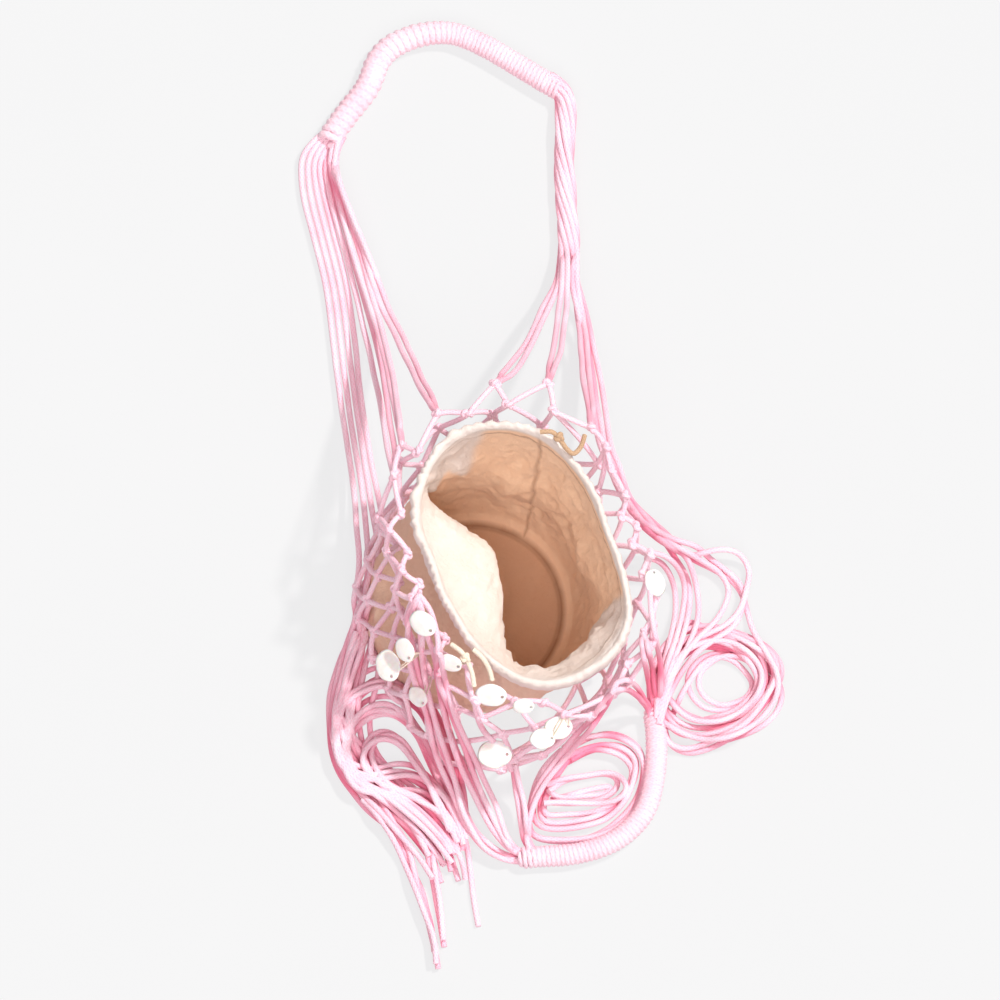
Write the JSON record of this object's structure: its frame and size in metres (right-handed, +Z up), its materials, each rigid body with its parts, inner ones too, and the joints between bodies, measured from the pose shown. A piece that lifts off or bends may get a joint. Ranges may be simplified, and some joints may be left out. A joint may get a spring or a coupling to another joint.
{
  "type": "knotted net bucket bag",
  "caption": "Macrame bucket bag: a pink knotted cord net over a cream canvas bag, with two wound hand grips, long cord fringe and shell discs, laid open on a floor.",
  "frame": {"origin": "middle of the canvas bag's flat base, on the floor", "axes": "+Z up out of the bag, -Y towards the fringe's tails at the front, +X towards the coil of cords"},
  "size_m": [0.4078, 0.8226, 0.2078],
  "materials": {
    "pink_cotton_cord": "braided cotton, matte",
    "cream_canvas": "plain woven canvas, matte",
    "cream_cord": "twisted cotton, matte",
    "shell_white": "smooth, pearly"
  },
  "bodies": {
    "root": {"canvas_bag": "cream_canvas", "net": "pink_cotton_cord", "back_grip": "pink_cotton_cord", "front_grip": "pink_cotton_cord", "back_left_bundle": "pink_cotton_cord", "back_left_pair_1": "pink_cotton_cord", "back_left_pair_2": "pink_cotton_cord", "back_left_pair_3": "pink_cotton_cord", "back_right_bundle": "pink_cotton_cord", "back_right_pair_1": "pink_cotton_cord", "back_right_pair_2": "pink_cotton_cord", "back_right_pair_3": "pink_cotton_cord", "front_left_cords": "pink_cotton_cord", "front_middle_cords": "pink_cotton_cord", "front_right_cords": "pink_cotton_cord", "fringe_left": "pink_cotton_cord", "fringe_front_loops": "pink_cotton_cord", "fringe_right_loops": "pink_cotton_cord", "fringe_right_coil": "pink_cotton_cord", "drawstring_front_end_1": "cream_cord", "drawstring_front_end_2": "cream_cord", "drawstring_front_knot": "cream_cord", "drawstring_back_end": "cream_cord", "drawstring_back_knot": "cream_cord", "shell_disc_01": "shell_white", "shell_disc_02": "shell_white", "shell_disc_03": "shell_white", "shell_disc_04": "shell_white", "shell_disc_05": "shell_white", "shell_disc_06": "shell_white", "shell_disc_07": "shell_white", "shell_disc_08": "shell_white", "shell_disc_09": "shell_white", "shell_disc_10": "shell_white", "shell_disc_11": "shell_white"}
  },
  "joints": []
}
